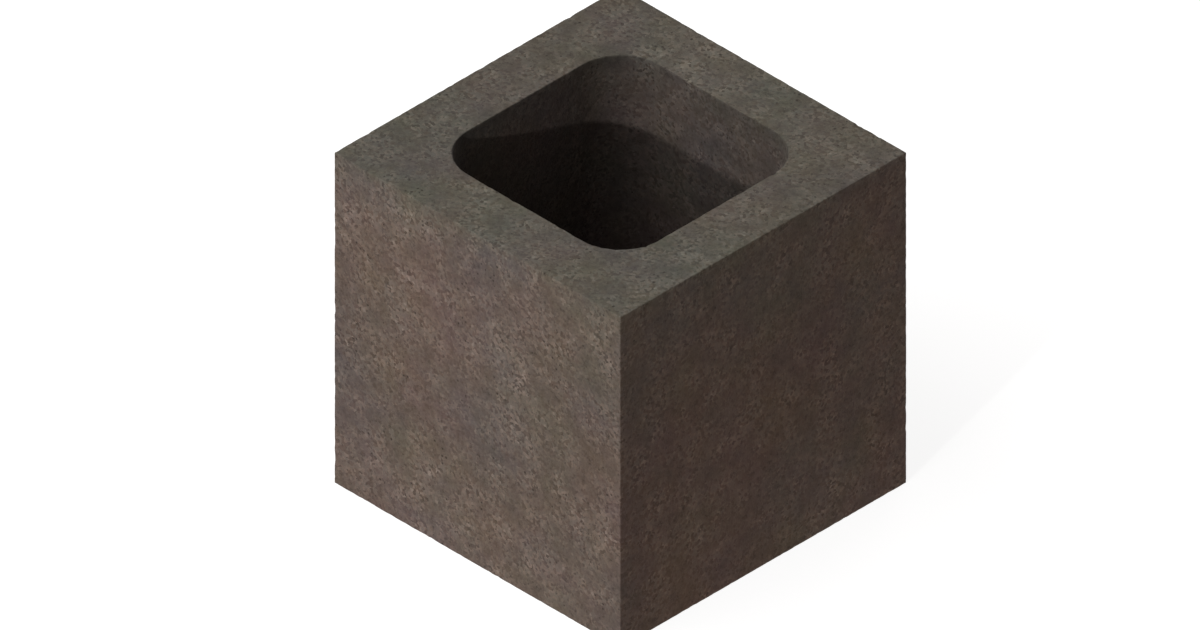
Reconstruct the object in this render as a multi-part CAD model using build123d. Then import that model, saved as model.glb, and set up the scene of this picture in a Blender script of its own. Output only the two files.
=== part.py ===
from build123d import *
import os
from math import atan, degrees

# Hollow concrete half block, cast as one piece.
# The origin is the centre of the lower bed face. +Z runs up the core, and -Y is the front.

# Driving dimensions
side = 190.0            # length, width and height: 200 mm with a 10 mm mortar joint
shell_upper = 32.0      # shell thickness at the upper bed face, the thick side of a laid block
shell_lower = 30.0      # shell thickness at the lower bed face, where the core mould was widest
core_corner = 25.0      # plan radius of the core's corners at the upper bed face

# Worked out from them
core_upper = side - 2 * shell_upper
core_draft = degrees(atan((shell_upper - shell_lower) / side))


def outer_cube():
    """The mould box: six flat faces that meet in sharp arrises."""
    return Box(side, side, side, align=(Align.CENTER, Align.CENTER, Align.MIN))


def core_void():
    """The core mould: a rounded square that grows evenly from the upper bed face down."""
    mouth = Plane.XY.offset(side) * RectangleRounded(core_upper, core_upper, core_corner)
    return extrude(mouth, amount=-side, taper=-core_draft)


half_block = outer_cube() - core_void()

os.makedirs("parts", exist_ok=True)
export_step(half_block, "parts/half_block.step")
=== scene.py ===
import math

import bpy
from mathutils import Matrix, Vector


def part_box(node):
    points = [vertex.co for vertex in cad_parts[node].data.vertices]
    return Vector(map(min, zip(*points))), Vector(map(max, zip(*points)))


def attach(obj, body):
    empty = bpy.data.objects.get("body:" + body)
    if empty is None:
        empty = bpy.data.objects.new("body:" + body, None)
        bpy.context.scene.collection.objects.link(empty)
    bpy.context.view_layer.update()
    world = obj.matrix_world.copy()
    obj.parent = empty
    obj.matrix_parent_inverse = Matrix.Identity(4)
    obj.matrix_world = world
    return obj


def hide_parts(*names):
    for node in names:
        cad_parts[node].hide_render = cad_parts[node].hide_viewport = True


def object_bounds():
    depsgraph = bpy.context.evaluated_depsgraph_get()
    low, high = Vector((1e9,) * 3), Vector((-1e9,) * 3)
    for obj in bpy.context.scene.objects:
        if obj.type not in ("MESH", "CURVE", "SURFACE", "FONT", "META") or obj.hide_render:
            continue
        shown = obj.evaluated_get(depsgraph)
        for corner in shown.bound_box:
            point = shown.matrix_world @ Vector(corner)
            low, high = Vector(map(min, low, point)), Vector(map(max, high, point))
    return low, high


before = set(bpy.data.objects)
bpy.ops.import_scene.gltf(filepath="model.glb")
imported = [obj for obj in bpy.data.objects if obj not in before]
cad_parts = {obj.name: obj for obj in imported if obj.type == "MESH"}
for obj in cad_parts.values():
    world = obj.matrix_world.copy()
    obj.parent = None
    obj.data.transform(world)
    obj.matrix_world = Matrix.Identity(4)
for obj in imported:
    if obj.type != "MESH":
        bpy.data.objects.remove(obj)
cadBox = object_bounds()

mm = 0.001  # the scene is in metres, and sizes are easier to read in millimetres
scene = bpy.context.scene


# Small helpers

# One node with its own settings; each input is a value, a socket or a node whose first output is used
def addNode(tree, kind, inputs=None, **settings):
    node = tree.nodes.new(kind)
    for name, value in settings.items():
        setattr(node, name, value)
    for key, value in (inputs or {}).items():
        if isinstance(value, bpy.types.Node):
            value = value.outputs[0]
        if isinstance(value, bpy.types.NodeSocket):
            tree.links.new(value, node.inputs[key])
        else:
            node.inputs[key].default_value = value
    return node


# An sRGB hex colour as linear RGBA
def hexColour(code):
    parts = [int(code[i:i + 2], 16) / 255 for i in (1, 3, 5)]
    return [c / 12.92 if c <= 0.04045 else ((c + 0.055) / 1.055) ** 2.4 for c in parts] + [1.0]


plainWhite = hexColour("#ffffff")


# Camera: a true isometric view, square to the cube's diagonal

photoView = {
    "width": 1200,            # pixels of the photograph
    "height": 630,
    "blockCentre": (620.4, 317.6),  # pixel where the middle of the block falls
    "pixelsPerMm": 2.130,     # along the photograph's own plane
    "distance": 2.0,          # metres back from the block, which changes nothing in a parallel view
    "nearest": 0.01,          # metres; what lies between these two shows
    "farthest": 50.0,
}


def addCamera():
    camera = bpy.data.objects.new("photoCamera", bpy.data.cameras.new("photoCamera"))
    scene.collection.objects.link(camera)
    scene.camera = camera
    metresPerPixel = mm / photoView["pixelsPerMm"]
    camera.data.type = "ORTHO"
    camera.data.ortho_scale = photoView["width"] * metresPerPixel
    back = Vector((1, -1, 1)).normalized()      # from the block to the camera
    right = Vector((1, 1, 0)).normalized()
    up = back.cross(right)
    shiftRight = (photoView["width"] / 2 - photoView["blockCentre"][0]) * metresPerPixel
    shiftUp = (photoView["blockCentre"][1] - photoView["height"] / 2) * metresPerPixel
    centre = (cadBox[0] + cadBox[1]) / 2
    camera.location = centre + right * shiftRight + up * shiftUp + back * photoView["distance"]
    camera.rotation_euler = back.to_track_quat("Z", "Y").to_euler()
    camera.data.clip_start = photoView["nearest"]
    camera.data.clip_end = photoView["farthest"]


addCamera()
print("camera set")


# Floor, backdrop and lamps. A lamp's share is how much of a written colour it alone gives to a surface
# that faces it, so the shares on a well lit face add up to about 1.

studio = {
    "floorWidth": 12.0,          # metres
    "floorGap": 0.1 * mm,        # under the block
    "floorGlow": 0.88,           # share of the floor's white that no shadow darkens, near the block
    "glowNear": 0.22,            # metres from the block where the floor starts to whiten
    "glowFar": 0.60,             # and where it is all white
    "floorPale": 0.33,           # share that takes the light and the block's shadow
    "floorInCore": 0.80,         # the same for the patch that is seen down the core
    "tableTint": "#ffe3d2",      # the floor lights the block from below as a warm light table does
    "tableLight": 0.242,
    "tableSpot": 0.206,          # more of it close round the block
    "tableSpotSize": 450 * mm,
    "tableDark": 88 * mm,        # radius under the block, and seen down its core, that doesn't glow
    "worldLight": 0.084,         # even light from all round
    "worldTint": "#ffeadd",
    "sunDistance": 2.0,          # metres; a sun shines alike from anywhere
}

lamps = {
    # a hard low sun, which draws the shadow's edge inside the core
    "lowKey": {"towards": (0.26, -1.0, 0.33), "share": 0.335, "angle": math.radians(1.6)},
    # the main light, above the front
    "bigSoftbox": {"towards": (-0.22, -0.49, 0.84), "share": 0.65, "distance": 2.6, "size": 2.1},
    # fills the front face from the left
    "sideBox": {"towards": (-0.62, -0.75, 0.12), "share": 0.15, "distance": 1.3, "size": 0.5},
    # lifts the faces that the photograph doesn't show
    "backGlow": {"towards": (-0.5, 1.0, 0.35), "share": 0.17, "angle": math.radians(35)},
}


# 1 for what a camera sees at first hand, in a reflection or through glass, and 0 for light on the block
def seenRays(tree):
    rays = addNode(tree, "ShaderNodeLightPath").outputs
    seen = addNode(tree, "ShaderNodeMath", {0: rays["Is Camera Ray"], 1: rays["Is Glossy Ray"]},
                   operation="MAXIMUM")
    return addNode(tree, "ShaderNodeMath", {0: seen, 1: rays["Is Transmission Ray"]}, operation="MAXIMUM")


def addFloor():
    half = studio["floorWidth"] / 2
    level = cadBox[0].z - studio["floorGap"]
    corners = [(-half, -half, level), (half, -half, level), (half, half, level), (-half, half, level)]
    mesh = bpy.data.meshes.new("studioFloor")
    mesh.from_pydata(corners, [], [(0, 1, 2, 3)])
    floor = bpy.data.objects.new("studioFloor", mesh)
    scene.collection.objects.link(floor)
    material = bpy.data.materials.new("paleStudioFloor")
    material.use_nodes = True
    tree = material.node_tree
    tree.nodes.clear()
    place = addNode(tree, "ShaderNodeTexCoord").outputs["Object"]
    fromBlock = addNode(tree, "ShaderNodeVectorMath", {0: place}, operation="LENGTH").outputs["Value"]
    clear = addNode(tree, "ShaderNodeMath", {0: fromBlock, 1: studio["tableDark"]},
                    operation="GREATER_THAN")

    # What is seen: a white glow that no shadow darkens, and a paler share that takes light and shadow
    glow = addNode(tree, "ShaderNodeMapRange", {"Value": fromBlock, "From Min": studio["glowNear"],
                   "From Max": studio["glowFar"], "To Min": studio["floorGlow"]},
                   interpolation_type="SMOOTHSTEP")
    glow = addNode(tree, "ShaderNodeMath", {0: clear, 1: glow}, operation="MULTIPLY")
    glowing = addNode(tree, "ShaderNodeEmission", {"Strength": glow})
    pale = addNode(tree, "ShaderNodeMapRange", {"Value": clear, "To Min": studio["floorInCore"],
                   "To Max": studio["floorPale"]})
    shadowed = addNode(tree, "ShaderNodeBsdfDiffuse", {"Color": pale})
    lookedAt = addNode(tree, "ShaderNodeAddShader", {0: glowing, 1: shadowed})

    # What lights the block: a table that is brighter close round it and dark below it
    table = addNode(tree, "ShaderNodeMapRange", {"Value": fromBlock, "From Min": studio["tableSpotSize"],
                    "From Max": 0.0, "To Min": studio["tableLight"],
                    "To Max": studio["tableLight"] + studio["tableSpot"]},
                    interpolation_type="SMOOTHSTEP")
    table = addNode(tree, "ShaderNodeMath", {0: clear, 1: table}, operation="MULTIPLY")
    bounce = addNode(tree, "ShaderNodeEmission", {"Color": hexColour(studio["tableTint"]),
                     "Strength": table})
    both = addNode(tree, "ShaderNodeMixShader", {0: seenRays(tree), 1: bounce, 2: lookedAt})
    addNode(tree, "ShaderNodeOutputMaterial", {"Surface": both})
    mesh.materials.append(material)


def addWorld():
    world = bpy.data.worlds.new("studioWorld")
    world.use_nodes = True
    scene.world = world
    tree = world.node_tree
    tree.nodes.clear()
    white = addNode(tree, "ShaderNodeBackground", {"Color": plainWhite, "Strength": 1.0})
    light = addNode(tree, "ShaderNodeBackground",
                    {"Color": hexColour(studio["worldTint"]), "Strength": studio["worldLight"]})
    both = addNode(tree, "ShaderNodeMixShader", {0: seenRays(tree), 1: light, 2: white})
    addNode(tree, "ShaderNodeOutputWorld", {"Surface": both})


def addLamps():
    centre = (cadBox[0] + cadBox[1]) / 2
    for name, given in lamps.items():
        light = bpy.data.lights.new(name, "AREA" if "size" in given else "SUN")
        distance = given.get("distance", studio["sunDistance"])
        if light.type == "AREA":
            light.shape = "SQUARE"
            light.size = given["size"]
            light.energy = given["share"] * math.pi ** 2 * distance ** 2    # watts
        else:
            light.angle = given["angle"]
            light.energy = given["share"] * math.pi                         # watts per square metre
        lamp = bpy.data.objects.new(name, light)
        scene.collection.objects.link(lamp)
        towards = Vector(given["towards"]).normalized()
        lamp.location = centre + towards * distance
        lamp.rotation_euler = towards.to_track_quat("Z", "Y").to_euler()


addFloor()
addWorld()
addLamps()
scene.view_settings.view_transform = "Standard"
print("floor, world and lamps set")


# Concrete: vibrated and pressed dense block concrete, cured grey-brown. Sand grains of 1 to 2 mm lie
# open in a dull cement paste, so the eye sees a dry, even, matte surface with fine light and dark specks.

concreteLook = {
    "pasteCool": "#615f5a",      # the paste drifts between these two across a face
    "pasteWarm": "#715b51",
    "pasteViolet": "#685a5c",    # and between these two, each as much as the other
    "pasteOlive": "#6b6250",
    "darkGrain": "#2a221e",
    "brownGrain": "#4f4139",
    "greyGrain": "#645d57",
    "tanGrain": "#786b62",
    "paleGrain": "#867b72",
    "grainDraw": (("darkGrain", 0.0), ("brownGrain", 0.15), ("greyGrain", 0.34), ("tanGrain", 0.72),
                  ("paleGrain", 0.95)),     # the draw from which a grain has each colour
    # painted shade: the colour drawn in the pinholes and crevices
    "paintedVoidShade": "#2a231f",
    "cloudSize": 75 * mm,        # slow drift from cool to warm
    "cloudShift": (-1.79, -0.13, -1.15),    # metres into the pattern, for a redder far end of the front
    "castSize": 50 * mm,         # slow drift from violet to olive
    "castShift": (-0.31, 0.22, -0.49),
    "pasteBetween": (0.35, 0.65),           # noise where both drifts reach their ends
    "driftSize": 85 * mm,        # broad drift from light to dark
    "driftShift": (1.00, 0.67, 1.86),
    "driftShare": 0.08,
    "blotchSize": 13 * mm,       # damp and dry blotches
    "blotchShare": 0.26,
    "dustSize": 0.7 * mm,        # fines between the grains
    "dustShare": 0.12,
    "toneBetween": (0.28, 0.72), # noise where these three are darkest, and lightest
    "grainSize": 1.5 * mm,       # sand
    "grainBare": 0.58,           # how far a grain's own colour covers the paste, where it is barest
    "grainCoated": 0.17,         # and where the paste coats it most
    "bareSize": 13 * mm,         # size of the barer patches
    "bareBetween": (0.38, 0.66), # noise where the paste coats a grain most, and least
    "stoneSize": 4.2 * mm,       # scattered coarser grains
    "stoneShare": 0.5,
    "stoneDraw": (0.62, 0.70),   # about a third of the cells hold one, a few of them faintly
    "stoneRim": (0.42, 0.28),    # its soft edge, in parts of a cell from the middle
    "poreSize": 2.6 * mm,        # spacing of the open pinholes
    "poreRadius": 0.92 * mm,     # of the widest
    "poreBottom": 0.5,           # how much of a pinhole's radius is all dark
    "poreShare": 0.75,
    "poreClusters": 19 * mm,     # pinholes come in patches
    "clusterBetween": (0.38, 0.66),         # noise outside a patch, and in its middle
    "poreChance": (0.10, 0.75),  # share of the cells with a pinhole there
    "poreWidest": 0.6,           # how far inside that chance a cell's draw gives the widest
    "creviceSize": 2.6 * mm,     # ragged gaps where the paste has pulled away from the sand
    "creviceShare": 0.52,
    "creviceBetween": (0.43, 0.30),         # noise where one starts, and where it is darkest
    "pitPaintedShade": 0.72,             # painted shade: how light the bottom of a pit is drawn beside the open face
    "corePaintedShade": "#c8c8ca",       # painted shade: the core's wall is drawn darker, for the dimmer light down the core
    "bedPaintedLightTint": "#f2fffb",        # painted light: the grey-green tint of the light from above, drawn on the upper bed face
    "roughness": 0.92,
    "specular": 0.25,            # an open, dusty surface holds back most of the usual sheen
    "grainHeight": 0.09 * mm,    # of a sand grain
    "grainDome": (0.1, 0.8),     # its shoulder and its foot, in parts of a cell from the middle
    "dustRise": 0.7,             # the other heights, in parts of a sand grain's
    "stoneRise": 0.6,
    "creviceRise": -0.8,
    "poreRise": -1.6,
}


def makeConcrete():
    look = concreteLook
    material = bpy.data.materials.new("pressedBlockConcrete")
    material.use_nodes = True
    tree = material.node_tree
    tree.nodes.clear()
    place = addNode(tree, "ShaderNodeTexCoord").outputs["Object"]

    # Paste: two slow drifts of tone, laid half and half
    tones = []
    low, high = look["pasteBetween"]
    for name, first, second in (("cloud", "pasteCool", "pasteWarm"),
                                ("cast", "pasteViolet", "pasteOlive")):
        shifted = addNode(tree, "ShaderNodeVectorMath", {0: place, 1: look[name + "Shift"]})
        clouds = addNode(tree, "ShaderNodeTexNoise", {"Vector": shifted, "Scale": 1 / look[name + "Size"],
                         "Detail": 4.0, "Roughness": 0.68})
        drift = addNode(tree, "ShaderNodeMapRange", {"Value": clouds, "From Min": low, "From Max": high})
        tones.append(addNode(tree, "ShaderNodeMix", {"Factor": drift, 6: hexColour(look[first]),
                     7: hexColour(look[second])}, data_type="RGBA").outputs[2])
    paste = addNode(tree, "ShaderNodeMix", {"Factor": 0.5, 6: tones[0], 7: tones[1]},
                    data_type="RGBA").outputs[2]

    # Sand: every cell is a grain with a colour drawn from the ramp
    sand = addNode(tree, "ShaderNodeTexVoronoi", {"Vector": place, "Scale": 1 / look["grainSize"]})
    drawn = addNode(tree, "ShaderNodeSeparateColor", {"Color": sand.outputs["Color"]})
    grains = addNode(tree, "ShaderNodeValToRGB", {"Fac": drawn.outputs["Red"]})
    grains.color_ramp.interpolation = "CONSTANT"
    ends = grains.color_ramp.elements
    for colour, draw in look["grainDraw"]:
        stop = ends[0] if draw == 0.0 else ends.new(draw)
        stop.position = draw
        stop.color = hexColour(look[colour])
    ends.remove(ends[-1])       # the stop that a new ramp has at its far end
    bareness = addNode(tree, "ShaderNodeTexNoise", {"Vector": place, "Scale": 1 / look["bareSize"],
                       "Detail": 2.0, "Roughness": 0.6})
    low, high = look["bareBetween"]
    grainCover = addNode(tree, "ShaderNodeMapRange", {"Value": bareness, "From Min": low,
                         "From Max": high, "To Min": look["grainCoated"],
                         "To Max": look["grainBare"]})
    sandy = addNode(tree, "ShaderNodeMix", {"Factor": grainCover, 6: paste,
                    7: grains.outputs["Color"]}, data_type="RGBA").outputs[2]

    # Coarser grains: some cells of a wider pattern, round and pale or dark
    stones = addNode(tree, "ShaderNodeTexVoronoi", {"Vector": place, "Scale": 1 / look["stoneSize"]})
    stoneDrawn = addNode(tree, "ShaderNodeSeparateColor", {"Color": stones.outputs["Color"]})
    low, high = look["stoneDraw"]
    stoneHere = addNode(tree, "ShaderNodeMapRange", {"Value": stoneDrawn.outputs["Red"],
                        "From Min": low, "From Max": high})
    outside, inside = look["stoneRim"]
    stoneDisc = addNode(tree, "ShaderNodeMapRange", {"Value": stones.outputs["Distance"],
                        "From Min": outside, "From Max": inside})
    stone = addNode(tree, "ShaderNodeMath", {0: stoneHere, 1: stoneDisc}, operation="MULTIPLY")
    stoneCover = addNode(tree, "ShaderNodeMath", {0: stone, 1: look["stoneShare"]}, operation="MULTIPLY")
    stoneColour = addNode(tree, "ShaderNodeMix", {"Factor": stoneDrawn.outputs["Green"],
                          6: hexColour(look["brownGrain"]), 7: hexColour(look["tanGrain"])},
                          data_type="RGBA").outputs[2]
    stony = addNode(tree, "ShaderNodeMix", {"Factor": stoneCover, 6: sandy, 7: stoneColour},
                    data_type="RGBA").outputs[2]

    # Drift, blotches and fines change only how light the surface is
    tone = 1.0
    low, high = look["toneBetween"]
    shifted = addNode(tree, "ShaderNodeVectorMath", {0: place, 1: look["driftShift"]})
    for name, where, detail in (("drift", shifted, 1.0), ("blotch", place, 3.0), ("dust", place, 2.0)):
        noise = addNode(tree, "ShaderNodeTexNoise", {"Vector": where, "Scale": 1 / look[name + "Size"],
                        "Detail": detail, "Roughness": 0.6})
        step = addNode(tree, "ShaderNodeMapRange", {"Value": noise, "From Min": low, "From Max": high,
                       "To Min": 1 - look[name + "Share"], "To Max": 1 + look[name + "Share"]})
        tone = addNode(tree, "ShaderNodeMath", {0: tone, 1: step}, operation="MULTIPLY")
    dust = noise                # the last of the three roughens the relief too

    # Pinholes: small voids, crowded in patches, drawn dark with painted shade
    pores = addNode(tree, "ShaderNodeTexVoronoi", {"Vector": place, "Scale": 1 / look["poreSize"]})
    poreDrawn = addNode(tree, "ShaderNodeSeparateColor", {"Color": pores.outputs["Color"]})
    patches = addNode(tree, "ShaderNodeTexNoise", {"Vector": place, "Scale": 1 / look["poreClusters"],
                      "Detail": 1.0})
    low, high = look["clusterBetween"]
    fewest, most = look["poreChance"]
    crowding = addNode(tree, "ShaderNodeMapRange", {"Value": patches, "From Min": low,
                       "From Max": high, "To Min": fewest, "To Max": most})
    poreGap = addNode(tree, "ShaderNodeMath", {0: crowding, 1: poreDrawn.outputs["Red"]},
                      operation="SUBTRACT")
    poreReach = addNode(tree, "ShaderNodeMapRange", {"Value": poreGap, "From Max": look["poreWidest"],
                        "To Max": look["poreRadius"] / look["poreSize"]})
    poreEdge = addNode(tree, "ShaderNodeMath", {0: poreReach, 1: look["poreBottom"]},
                       operation="MULTIPLY")
    pore = addNode(tree, "ShaderNodeMapRange", {"Value": pores.outputs["Distance"],
                   "From Min": poreReach, "From Max": poreEdge})

    # Painted shade in the pits and on the core wall, and the upper bed's painted tint of the light from
    # above, which the casting carries as attributes from 0 to 1
    pitShadeMask = addNode(tree, "ShaderNodeAttribute", attribute_name="pitShade").outputs["Fac"]
    pitPaintedShade = addNode(tree, "ShaderNodeMapRange", {"Value": pitShadeMask, "To Min": 1.0,
                      "To Max": look["pitPaintedShade"]})
    tone = addNode(tree, "ShaderNodeMath", {0: tone, 1: pitPaintedShade}, operation="MULTIPLY")
    toned = addNode(tree, "ShaderNodeVectorMath", {0: stony, "Scale": tone}, operation="SCALE")
    # painted light: shade drawn on the core wall, and the tint of the light from above drawn on the upper
    # bed
    for part, colour in (("coreWall", "corePaintedShade"), ("upperBed", "bedPaintedLightTint")):
        here = addNode(tree, "ShaderNodeAttribute", attribute_name=part).outputs["Fac"]
        tint = addNode(tree, "ShaderNodeMix", {"Factor": here, 6: plainWhite,
                       7: hexColour(look[colour])}, data_type="RGBA").outputs[2]
        toned = addNode(tree, "ShaderNodeVectorMath", {0: toned, 1: tint}, operation="MULTIPLY")

    # Crevices, drawn with the same painted shade as the pinholes; where both fall, the darker one shows
    crevices = addNode(tree, "ShaderNodeTexNoise", {"Vector": place, "Scale": 1 / look["creviceSize"],
                       "Detail": 3.0, "Roughness": 0.7})
    shallow, deep = look["creviceBetween"]
    crevice = addNode(tree, "ShaderNodeMapRange", {"Value": crevices, "From Min": shallow,
                      "From Max": deep})
    poreCover = addNode(tree, "ShaderNodeMath", {0: pore, 1: look["poreShare"]}, operation="MULTIPLY")
    creviceCover = addNode(tree, "ShaderNodeMath", {0: crevice, 1: look["creviceShare"]},
                           operation="MULTIPLY")
    darkCover = addNode(tree, "ShaderNodeMath", {0: poreCover, 1: creviceCover}, operation="MAXIMUM")
    colour = addNode(tree, "ShaderNodeMix", {"Factor": darkCover, 6: toned,
                     7: hexColour(look["paintedVoidShade"])}, data_type="RGBA").outputs[2]

    # Relief too fine for the mesh: grains stand up, fines roughen them, pinholes go in
    top, foot = look["grainDome"]
    grainDome = addNode(tree, "ShaderNodeMapRange", {"Value": sand.outputs["Distance"],
                        "From Min": top, "From Max": foot, "To Min": 1.0, "To Max": 0.0})
    height = addNode(tree, "ShaderNodeMath", {0: drawn.outputs["Green"], 1: grainDome},
                     operation="MULTIPLY")
    for amount, name in ((dust, "dustRise"), (stone, "stoneRise"), (crevice, "creviceRise"),
                         (pore, "poreRise")):
        height = addNode(tree, "ShaderNodeMath", {0: amount, 1: look[name], 2: height},
                         operation="MULTIPLY_ADD")
    bump = addNode(tree, "ShaderNodeBump", {"Height": height, "Distance": look["grainHeight"],
                   "Strength": 1.0})
    surface = addNode(tree, "ShaderNodeBsdfPrincipled", {"Base Color": colour, "Normal": bump,
                      "Roughness": look["roughness"], "Specular IOR Level": look["specular"]})
    addNode(tree, "ShaderNodeOutputMaterial", {"Surface": surface})
    return material


concrete = makeConcrete()
print("concrete mixed")


# The block: one casting, made by a Geometry Nodes tree from its sizes

castBlock = {
    "columnsPerFace": 104,       # faces across each of the four upright faces
    "rowsUp": 112,               # faces up an upright face
    "rowsAcross": 20,            # faces across the upper bed face, from arris to core
    "rowsDown": 84,              # faces down the core
    "rowsUnder": 20,             # faces across the lower bed face
    "edgeReach": 5 * mm,         # width along an arris where the faces are closer
    "edgeHold": 0.88,            # how much closer, from 0 to 1
    "coreFrom": 0.985,           # share of the way in across a bed where the core wall's painted shade starts
    "bedFrom": 0.998,            # share of the way up the block where the upper bed's painted tint starts
    "runShare": 0.75,            # how much of the upper bed's painted tint reaches down a wall, at its arris
    "runDown": 12 * mm,          # depth at which it has faded
    "runLeft": math.exp(-1),     # to this share
    "runLeast": 0.5,             # times that depth where it fades soonest
    "runMost": 1.5,              # and where it reaches lowest
    "runPatch": 30 * mm,         # from one such place to the next
    "runFrom": 0.3,              # noise where it fades soonest
    "runTo": 0.7,                # and where it reaches lowest
    "arrisRadius": 0.35 * mm,    # every arris, as the steel mould leaves it
    "crumbRadius": 0.9 * mm,     # added to it where the arris has crumbled
    "crumbSpacing": 11 * mm,
    "crumbFrom": 0.54,           # noise from which an arris crumbles
    "crumbTo": 0.76,             # and where it has crumbled most
    "waveDepth": 0.10 * mm,      # slow unevenness of a face
    "waveSize": 55 * mm,
    "waveFrom": 0.25,            # noise from which a face goes in
    "waveTo": 0.75,              # and where it is all the way in
    "rippleDepth": 0.34 * mm,    # hollows between the coarser grains; what touched the mould is flat
    "rippleSize": 5 * mm,
    "rippleFrom": 0.50,
    "rippleTo": 0.80,
    "pitDepth": 0.8 * mm,        # voids left open between the grains
    "pitSpacing": 8 * mm,
    "pitRadius": 2.8 * mm,
    "pitFrom": 0.35,             # share of the cells that have no pit
    "seed": 7.0,
}

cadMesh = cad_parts["half_block"].data
blockLow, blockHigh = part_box("half_block")
side = blockHigh.z - blockLow.z
tiny = 0.02 * mm                 # two places nearer than this are the same
weldReach = 0.005 * mm           # closes the seams of the rolled sheet


# Half width and corner radius of the core where it meets a bed face, read from the CAD mesh
def coreAt(level):
    inside = side / 2 - tiny
    rim = [v.co for v in cadMesh.vertices
           if abs(v.co.z - level) < tiny and max(abs(v.co.x), abs(v.co.y)) < inside]
    halfWidth = max(abs(co.x) for co in rim)
    flat = max(abs(co.y) for co in rim if halfWidth - abs(co.x) < tiny)
    return halfWidth, halfWidth - flat


# A node group that bunches evenly spaced steps from 0 to 1 towards both ends. Hold is how much closer
# they come there, and it dies away over Reach; the last node stretches the steps to end at 1 again.
def makeBunching():
    tree = bpy.data.node_groups.new("closerAtEdges", "GeometryNodeTree")
    for name in ("Step", "Reach", "Hold"):
        tree.interface.new_socket(name, in_out="INPUT", socket_type="NodeSocketFloat")
    tree.interface.new_socket("Place", in_out="OUTPUT", socket_type="NodeSocketFloat")
    given = addNode(tree, "NodeGroupInput").outputs
    step, reach, hold = given["Step"], given["Reach"], given["Hold"]
    pull = addNode(tree, "ShaderNodeMath", {0: reach, 1: hold}, operation="MULTIPLY")
    fromStart = addNode(tree, "ShaderNodeMath", {0: step, 1: reach}, operation="DIVIDE")
    oneReach = addNode(tree, "ShaderNodeMath", {0: 1.0, 1: reach}, operation="DIVIDE")
    fromEnd = addNode(tree, "ShaderNodeMath", {0: oneReach, 1: fromStart}, operation="SUBTRACT")
    decay = []
    for distance in (fromStart, fromEnd, oneReach):
        negative = addNode(tree, "ShaderNodeMath", {0: distance, 1: -1.0}, operation="MULTIPLY")
        decay.append(addNode(tree, "ShaderNodeMath", {0: negative}, operation="EXPONENT"))
    rising = addNode(tree, "ShaderNodeMath", {0: decay[1], 1: decay[0]}, operation="SUBTRACT")
    level = addNode(tree, "ShaderNodeMath", {0: 1.0, 1: decay[2]}, operation="SUBTRACT")
    both = addNode(tree, "ShaderNodeMath", {0: rising, 1: level}, operation="ADD")
    bunched = addNode(tree, "ShaderNodeMath", {0: both, 1: pull}, operation="MULTIPLY")
    moved = addNode(tree, "ShaderNodeMath", {0: step, 1: bunched}, operation="SUBTRACT")
    ends = addNode(tree, "ShaderNodeMath", {0: level, 1: 2.0}, operation="MULTIPLY")
    lost = addNode(tree, "ShaderNodeMath", {0: ends, 1: pull}, operation="MULTIPLY")
    whole = addNode(tree, "ShaderNodeMath", {0: 1.0, 1: lost}, operation="SUBTRACT")
    place = addNode(tree, "ShaderNodeMath", {0: moved, 1: whole}, operation="DIVIDE")
    addNode(tree, "NodeGroupOutput", {"Place": place})
    return tree


# The tree's name for a setting: columnsPerFace is its input Columns Per Face
def inputName(setting):
    return "".join(" " + c if c.isupper() else c for c in setting).title()


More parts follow.
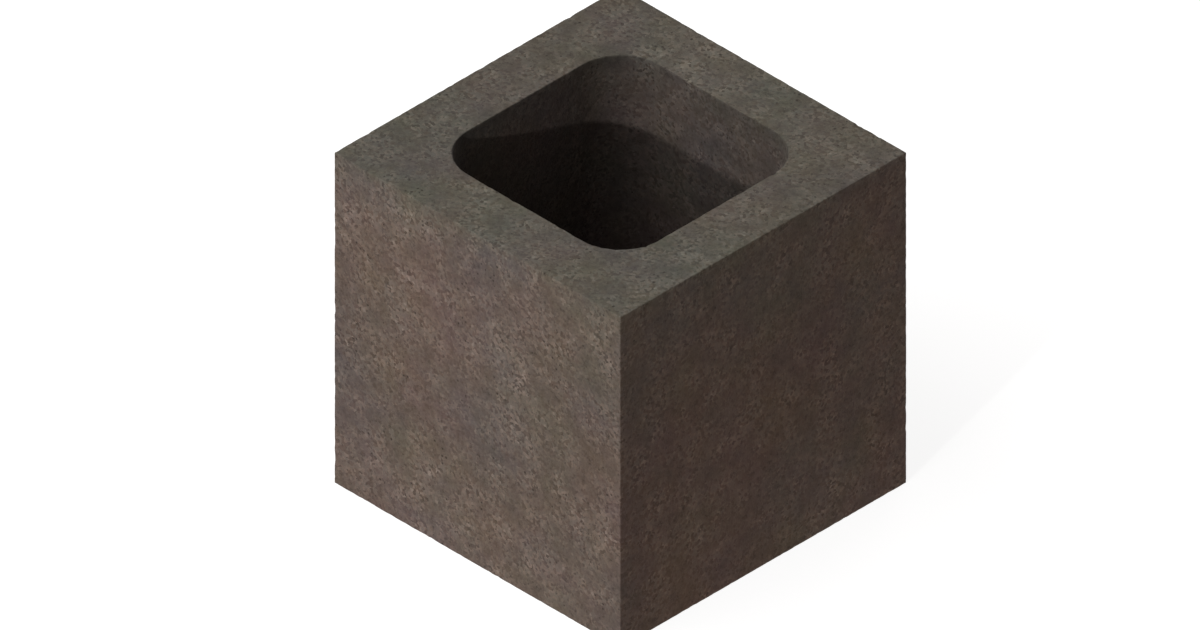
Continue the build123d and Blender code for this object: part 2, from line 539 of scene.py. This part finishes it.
def makeBlockTree(sizes):
    tree = bpy.data.node_groups.new("castHalfBlock", "GeometryNodeTree")
    tree.is_modifier = True
    for name, value in sizes.items():
        kind = "NodeSocketInt" if isinstance(value, int) else "NodeSocketFloat"     # counts are whole
        tree.interface.new_socket(inputName(name), in_out="INPUT", socket_type=kind)
    tree.interface.new_socket("Concrete", in_out="INPUT", socket_type="NodeSocketMaterial")
    tree.interface.new_socket("Geometry", in_out="OUTPUT", socket_type="NodeSocketGeometry")
    given = addNode(tree, "NodeGroupInput").outputs
    bunching = makeBunching()

    # A flat sheet that will be rolled round the block: across it runs round, up it runs over the section
    around = addNode(tree, "ShaderNodeMath", {0: given["Columns Per Face"], 1: 4.0}, operation="MULTIPLY")
    upTo = [given["Rows Up"]]
    for name in ("Rows Across", "Rows Down", "Rows Under"):
        upTo.append(addNode(tree, "ShaderNodeMath", {0: upTo[-1], 1: given[name]}, operation="ADD"))
    pointsAround = addNode(tree, "ShaderNodeMath", {0: around, 1: 1.0}, operation="ADD")
    pointsOver = addNode(tree, "ShaderNodeMath", {0: upTo[-1], 1: 1.0}, operation="ADD")
    sheet = addNode(tree, "GeometryNodeMeshGrid", {"Size X": 1.0, "Size Y": 1.0,
                    "Vertices X": pointsAround, "Vertices Y": pointsOver})
    flat = addNode(tree, "ShaderNodeSeparateXYZ", {0: addNode(tree, "GeometryNodeInputPosition")})

    # Round the block: which upright face, and how far along it from -1 to 1
    faceCount = addNode(tree, "ShaderNodeMath", {0: flat.outputs["X"], 1: 4.0, 2: 2.0},
                        operation="MULTIPLY_ADD")
    face = addNode(tree, "ShaderNodeMath", {0: faceCount}, operation="FLOOR")
    alongFace = addNode(tree, "ShaderNodeMath", {0: faceCount}, operation="FRACT")
    half = addNode(tree, "ShaderNodeMath", {0: given["Side"], 1: 0.5}, operation="MULTIPLY")
    faceReach = addNode(tree, "ShaderNodeMath", {0: given["Edge Reach"], 1: given["Side"]},
                        operation="DIVIDE")
    bunchedFace = addNode(tree, "GeometryNodeGroup", {"Step": alongFace, "Reach": faceReach,
                          "Hold": given["Edge Hold"]}, node_tree=bunching)
    along = addNode(tree, "ShaderNodeMath", {0: bunchedFace, 1: 2.0, 2: -1.0}, operation="MULTIPLY_ADD")

    # Over the section: up the face, in across the upper bed, down the core, out across the lower bed
    rowShare = addNode(tree, "ShaderNodeMath", {0: flat.outputs["Y"], 1: 0.5}, operation="ADD")
    row = addNode(tree, "ShaderNodeMath", {0: rowShare, 1: upTo[-1]}, operation="MULTIPLY")
    bedWidth = addNode(tree, "ShaderNodeMath", {0: half, 1: given["Core Half Above"]},
                       operation="SUBTRACT")
    bedReach = addNode(tree, "ShaderNodeMath", {0: given["Edge Reach"], 1: bedWidth},
                       operation="DIVIDE")
    stretches = []
    for start, end, reach in ((0.0, upTo[0], faceReach), (upTo[0], upTo[1], bedReach),
                              (upTo[1], upTo[2], faceReach), (upTo[2], upTo[3], bedReach)):
        share = addNode(tree, "ShaderNodeMapRange", {"Value": row, "From Min": start, "From Max": end})
        stretches.append(addNode(tree, "GeometryNodeGroup", {"Step": share, "Reach": reach,
                         "Hold": given["Edge Hold"]}, node_tree=bunching))
    heightShare = addNode(tree, "ShaderNodeMath", {0: stretches[0], 1: stretches[2]},
                          operation="SUBTRACT")
    height = addNode(tree, "ShaderNodeMath", {0: heightShare, 1: given["Side"]}, operation="MULTIPLY")
    inwards = addNode(tree, "ShaderNodeMath", {0: stretches[1], 1: stretches[3]},
                      operation="SUBTRACT")

    # The core's rounded square at this height, walked by its own arc length
    coreHalf = addNode(tree, "ShaderNodeMapRange", {"Value": heightShare,
                       "To Min": given["Core Half Below"], "To Max": given["Core Half Above"]})
    corner = addNode(tree, "ShaderNodeMapRange", {"Value": heightShare,
                     "To Min": given["Core Corner Below"], "To Max": given["Core Corner Above"]})
    flatHalf = addNode(tree, "ShaderNodeMath", {0: coreHalf, 1: corner}, operation="SUBTRACT")
    eighth = addNode(tree, "ShaderNodeMath", {0: corner, 1: math.pi / 4, 2: flatHalf},
                     operation="MULTIPLY_ADD")
    walked = addNode(tree, "ShaderNodeMath", {0: eighth, 1: along}, operation="MULTIPLY")
    flatLow = addNode(tree, "ShaderNodeMath", {0: flatHalf, 1: -1.0}, operation="MULTIPLY")
    onFlat = addNode(tree, "ShaderNodeClamp", {"Value": walked, "Min": flatLow, "Max": flatHalf})
    pastFlat = addNode(tree, "ShaderNodeMath", {0: walked, 1: onFlat}, operation="SUBTRACT")
    bend = addNode(tree, "ShaderNodeMath", {0: pastFlat, 1: corner}, operation="DIVIDE")
    bendSine = addNode(tree, "ShaderNodeMath", {0: bend}, operation="SINE")
    bendCosine = addNode(tree, "ShaderNodeMath", {0: bend}, operation="COSINE")
    coreAlong = addNode(tree, "ShaderNodeMath", {0: bendSine, 1: corner, 2: onFlat},
                        operation="MULTIPLY_ADD")
    coreOut = addNode(tree, "ShaderNodeMath", {0: bendCosine, 1: corner, 2: flatHalf},
                      operation="MULTIPLY_ADD")
    outerAlong = addNode(tree, "ShaderNodeMath", {0: along, 1: half}, operation="MULTIPLY")
    planAlong = addNode(tree, "ShaderNodeMix", {"Factor": inwards, 2: outerAlong, 3: coreAlong})
    planOut = addNode(tree, "ShaderNodeMix", {"Factor": inwards, 2: half, 3: coreOut})
    planBack = addNode(tree, "ShaderNodeMath", {0: planOut, 1: -1.0}, operation="MULTIPLY")
    onFront = addNode(tree, "ShaderNodeCombineXYZ", {"X": planAlong, "Y": planBack, "Z": height})
    turn = addNode(tree, "ShaderNodeMath", {0: face, 1: math.pi / 2}, operation="MULTIPLY")
    onFace = addNode(tree, "ShaderNodeVectorRotate", {"Vector": onFront, "Angle": turn},
                     rotation_type="Z_AXIS")

    # Marks for the material: the core's wall, for painted shade, and the upper bed, for a painted tint of
    # the light from above that also fades down the walls below its arris
    coreRows = addNode(tree, "ShaderNodeMapRange", {"Value": inwards, "From Min": given["Core From"],
                       "From Max": 1.0})
    bedRows = addNode(tree, "ShaderNodeMapRange", {"Value": heightShare, "From Min": given["Bed From"],
                      "From Max": 1.0})
    raggedScale = addNode(tree, "ShaderNodeMath", {0: 1.0, 1: given["Run Patch"]}, operation="DIVIDE")
    raggedNoise = addNode(tree, "ShaderNodeTexNoise", {"Vector": onFace, "Scale": raggedScale,
                          "Detail": 2.0})
    ragged = addNode(tree, "ShaderNodeMapRange", {"Value": raggedNoise, "From Min": given["Run From"],
                     "From Max": given["Run To"], "To Min": given["Run Least"],
                     "To Max": given["Run Most"]})
    runDepth = addNode(tree, "ShaderNodeMath", {0: ragged, 1: given["Run Down"]}, operation="MULTIPLY")
    underBed = addNode(tree, "ShaderNodeMath", {0: given["Side"], 1: height}, operation="SUBTRACT")
    depthsDown = addNode(tree, "ShaderNodeMath", {0: underBed, 1: runDepth}, operation="DIVIDE")
    faded = addNode(tree, "ShaderNodeMath", {0: given["Run Left"], 1: depthsDown}, operation="POWER")
    run = addNode(tree, "ShaderNodeMath", {0: faded, 1: given["Run Share"]}, operation="MULTIPLY")
    bedLightTint = addNode(tree, "ShaderNodeMath", {0: bedRows, 1: run}, operation="MAXIMUM")
    marked = sheet
    for name, value in (("coreWall", coreRows), ("upperBed", bedLightTint)):
        marked = addNode(tree, "GeometryNodeStoreNamedAttribute", {"Geometry": marked, "Name": name,
                         "Value": value}, data_type="FLOAT", domain="POINT")
    rolled = addNode(tree, "GeometryNodeSetPosition", {"Geometry": marked, "Position": onFace})
    closed = addNode(tree, "GeometryNodeMergeByDistance", {"Geometry": rolled, "Distance": weldReach})

    # Arrises: each point near one moves in to a rounding whose radius the noise sets
    position = addNode(tree, "GeometryNodeInputPosition")
    shifted = addNode(tree, "ShaderNodeVectorMath", {0: position, 1: given["Seed"]}, operation="ADD")
    crumbScale = addNode(tree, "ShaderNodeMath", {0: 1.0, 1: given["Crumb Spacing"]}, operation="DIVIDE")
    crumbNoise = addNode(tree, "ShaderNodeTexNoise", {"Vector": shifted, "Scale": crumbScale,
                         "Detail": 3.0, "Roughness": 0.65})
    crumb = addNode(tree, "ShaderNodeMapRange", {"Value": crumbNoise, "From Min": given["Crumb From"],
                    "From Max": given["Crumb To"], "To Max": given["Crumb Radius"]},
                    interpolation_type="SMOOTHSTEP")
    radius = addNode(tree, "ShaderNodeMath", {0: crumb, 1: given["Arris Radius"]}, operation="ADD")
    middle = addNode(tree, "ShaderNodeCombineXYZ", {"Z": half})
    centred = addNode(tree, "ShaderNodeVectorMath", {0: position, 1: middle}, operation="SUBTRACT")
    sides = addNode(tree, "ShaderNodeVectorMath", {0: centred}, operation="SIGN")
    inner = addNode(tree, "ShaderNodeVectorMath", {0: centred}, operation="ABSOLUTE")
    halfLessRadius = addNode(tree, "ShaderNodeMath", {0: half, 1: radius}, operation="SUBTRACT")
    pastRounding = addNode(tree, "ShaderNodeVectorMath", {0: inner, 1: halfLessRadius},
                           operation="SUBTRACT")
    near = addNode(tree, "ShaderNodeVectorMath", {0: pastRounding, 1: (0, 0, 0)}, operation="MAXIMUM")
    boxOut = addNode(tree, "ShaderNodeVectorMath", {0: near, 1: sides}, operation="MULTIPLY")
    boxIn = addNode(tree, "ShaderNodeVectorMath", {0: boxOut, 1: (-1, -1, -1)}, operation="MULTIPLY")

    # The same for the core, whose rounded square is taken at the point's own level
    level = addNode(tree, "ShaderNodeSeparateXYZ", {0: position}).outputs["Z"]
    levelShare = addNode(tree, "ShaderNodeMath", {0: level, 1: given["Side"]}, operation="DIVIDE")
    coreHalfHere = addNode(tree, "ShaderNodeMapRange", {"Value": levelShare,
                           "To Min": given["Core Half Below"], "To Max": given["Core Half Above"]})
    cornerHere = addNode(tree, "ShaderNodeMapRange", {"Value": levelShare,
                         "To Min": given["Core Corner Below"], "To Max": given["Core Corner Above"]})
    flatHere = addNode(tree, "ShaderNodeMath", {0: coreHalfHere, 1: cornerHere}, operation="SUBTRACT")
    plan = addNode(tree, "ShaderNodeVectorMath", {0: inner, 1: (1, 1, 0)}, operation="MULTIPLY")
    fromFlats = addNode(tree, "ShaderNodeVectorMath", {0: plan, 1: flatHere}, operation="SUBTRACT")
    pastFlats = addNode(tree, "ShaderNodeVectorMath", {0: fromFlats, 1: (0, 0, 0)}, operation="MAXIMUM")
    outFromCore = addNode(tree, "ShaderNodeVectorMath", {0: pastFlats}, operation="LENGTH")
    cornerAndRadius = addNode(tree, "ShaderNodeMath", {0: cornerHere, 1: radius}, operation="ADD")
    coreGap = addNode(tree, "ShaderNodeMath", {0: cornerAndRadius, 1: outFromCore.outputs["Value"]},
                      operation="SUBTRACT")
    coreNear = addNode(tree, "ShaderNodeMath", {0: coreGap, 1: 0.0}, operation="MAXIMUM")
    planWay = addNode(tree, "ShaderNodeVectorMath", {0: pastFlats}, operation="NORMALIZE")
    coreWay = addNode(tree, "ShaderNodeVectorMath", {0: planWay, 1: sides}, operation="MULTIPLY")
    coreIn = addNode(tree, "ShaderNodeVectorMath", {0: coreWay, "Scale": coreNear}, operation="SCALE")

    # What lies outside the rounding comes in to it
    inTo = addNode(tree, "ShaderNodeVectorMath", {0: boxIn, 1: coreIn}, operation="ADD")
    reachIn = addNode(tree, "ShaderNodeVectorMath", {0: inTo}, operation="LENGTH")
    pastRadius = addNode(tree, "ShaderNodeMath", {0: reachIn.outputs["Value"], 1: radius},
                         operation="SUBTRACT")
    excess = addNode(tree, "ShaderNodeMath", {0: pastRadius, 1: 0.0}, operation="MAXIMUM")
    inWay = addNode(tree, "ShaderNodeVectorMath", {0: inTo}, operation="NORMALIZE")
    moveIn = addNode(tree, "ShaderNodeVectorMath", {0: inWay, "Scale": excess}, operation="SCALE")
    rounded = addNode(tree, "GeometryNodeSetPosition", {"Geometry": closed, "Offset": moveIn})

    # Relief: waves, ripples and open pits, all of them inwards
    depths = []
    for name, detail in (("Wave", 1.0), ("Ripple", 2.0)):
        scale = addNode(tree, "ShaderNodeMath", {0: 1.0, 1: given[name + " Size"]}, operation="DIVIDE")
        noise = addNode(tree, "ShaderNodeTexNoise", {"Vector": shifted, "Scale": scale, "Detail": detail})
        depths.append(addNode(tree, "ShaderNodeMapRange", {"Value": noise,
                      "From Min": given[name + " From"], "From Max": given[name + " To"],
                      "To Max": given[name + " Depth"]}))
    pitScale = addNode(tree, "ShaderNodeMath", {0: 1.0, 1: given["Pit Spacing"]}, operation="DIVIDE")
    pits = addNode(tree, "ShaderNodeTexVoronoi", {"Vector": shifted, "Scale": pitScale})
    pitDrawn = addNode(tree, "ShaderNodeSeparateXYZ", {0: pits.outputs["Color"]})
    pitSize = addNode(tree, "ShaderNodeMapRange", {"Value": pitDrawn.outputs["X"],
                      "From Min": given["Pit From"], "From Max": 1.0, "To Max": given["Pit Radius"]})
    pitPlace = addNode(tree, "ShaderNodeMath", {0: pits.outputs["Distance"],
                       1: given["Pit Spacing"]}, operation="MULTIPLY")
    pitShape = addNode(tree, "ShaderNodeMapRange", {"Value": pitPlace, "From Min": pitSize,
                       "From Max": 0.0}, interpolation_type="SMOOTHSTEP")
    pitWidth = addNode(tree, "ShaderNodeMath", {0: pitSize, 1: given["Pit Radius"]}, operation="DIVIDE")
    pitShare = addNode(tree, "ShaderNodeMath", {0: pitWidth, 1: pitShape}, operation="MULTIPLY")
    depths.append(addNode(tree, "ShaderNodeMath", {0: pitShare, 1: given["Pit Depth"]},
                          operation="MULTIPLY"))
    depth = depths[0]
    for more in depths[1:]:
        depth = addNode(tree, "ShaderNodeMath", {0: depth, 1: more}, operation="ADD")
    inward = addNode(tree, "ShaderNodeMath", {0: depth, 1: -1.0}, operation="MULTIPLY")
    sunk = addNode(tree, "ShaderNodeVectorMath", {0: addNode(tree, "GeometryNodeInputNormal"),
                   "Scale": inward}, operation="SCALE")
    # the pits' share, which the material turns into painted shade in their bottoms
    shaded = addNode(tree, "GeometryNodeStoreNamedAttribute", {"Geometry": rounded, "Name": "pitShade",
                     "Value": pitShare}, data_type="FLOAT", domain="POINT")
    relief = addNode(tree, "GeometryNodeSetPosition", {"Geometry": shaded, "Offset": sunk})

    smooth = addNode(tree, "GeometryNodeSetShadeSmooth", {"Geometry": relief})
    realized = addNode(tree, "GeometryNodeRealizeInstances", {"Geometry": smooth})
    dressed = addNode(tree, "GeometryNodeSetMaterial", {"Geometry": realized,
                      "Material": given["Concrete"]})
    addNode(tree, "NodeGroupOutput", {"Geometry": dressed})
    return tree


def castTheBlock():
    sizes = dict(castBlock, side=side)
    sizes["coreHalfAbove"], sizes["coreCornerAbove"] = coreAt(blockHigh.z)
    sizes["coreHalfBelow"], sizes["coreCornerBelow"] = coreAt(blockLow.z)
    tree = makeBlockTree(sizes)
    values = {inputName(name): value for name, value in sizes.items()}
    values["Concrete"] = concrete
    block = bpy.data.objects.new("cast_block", bpy.data.meshes.new("cast_block"))
    scene.collection.objects.link(block)
    maker = block.modifiers.new("castHalfBlock", "NODES")
    maker.node_group = tree
    for item in tree.interface.items_tree:
        if item.in_out == "INPUT":
            maker[item.identifier] = values[item.name]
    depsgraph = bpy.context.evaluated_depsgraph_get()
    made = bpy.data.meshes.new_from_object(block.evaluated_get(depsgraph), depsgraph=depsgraph)
    block.modifiers.clear()
    block.data = made
    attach(block, "root")
    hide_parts("half_block")
    return block


block = castTheBlock()
print("block cast:", len(block.data.polygons), "faces")
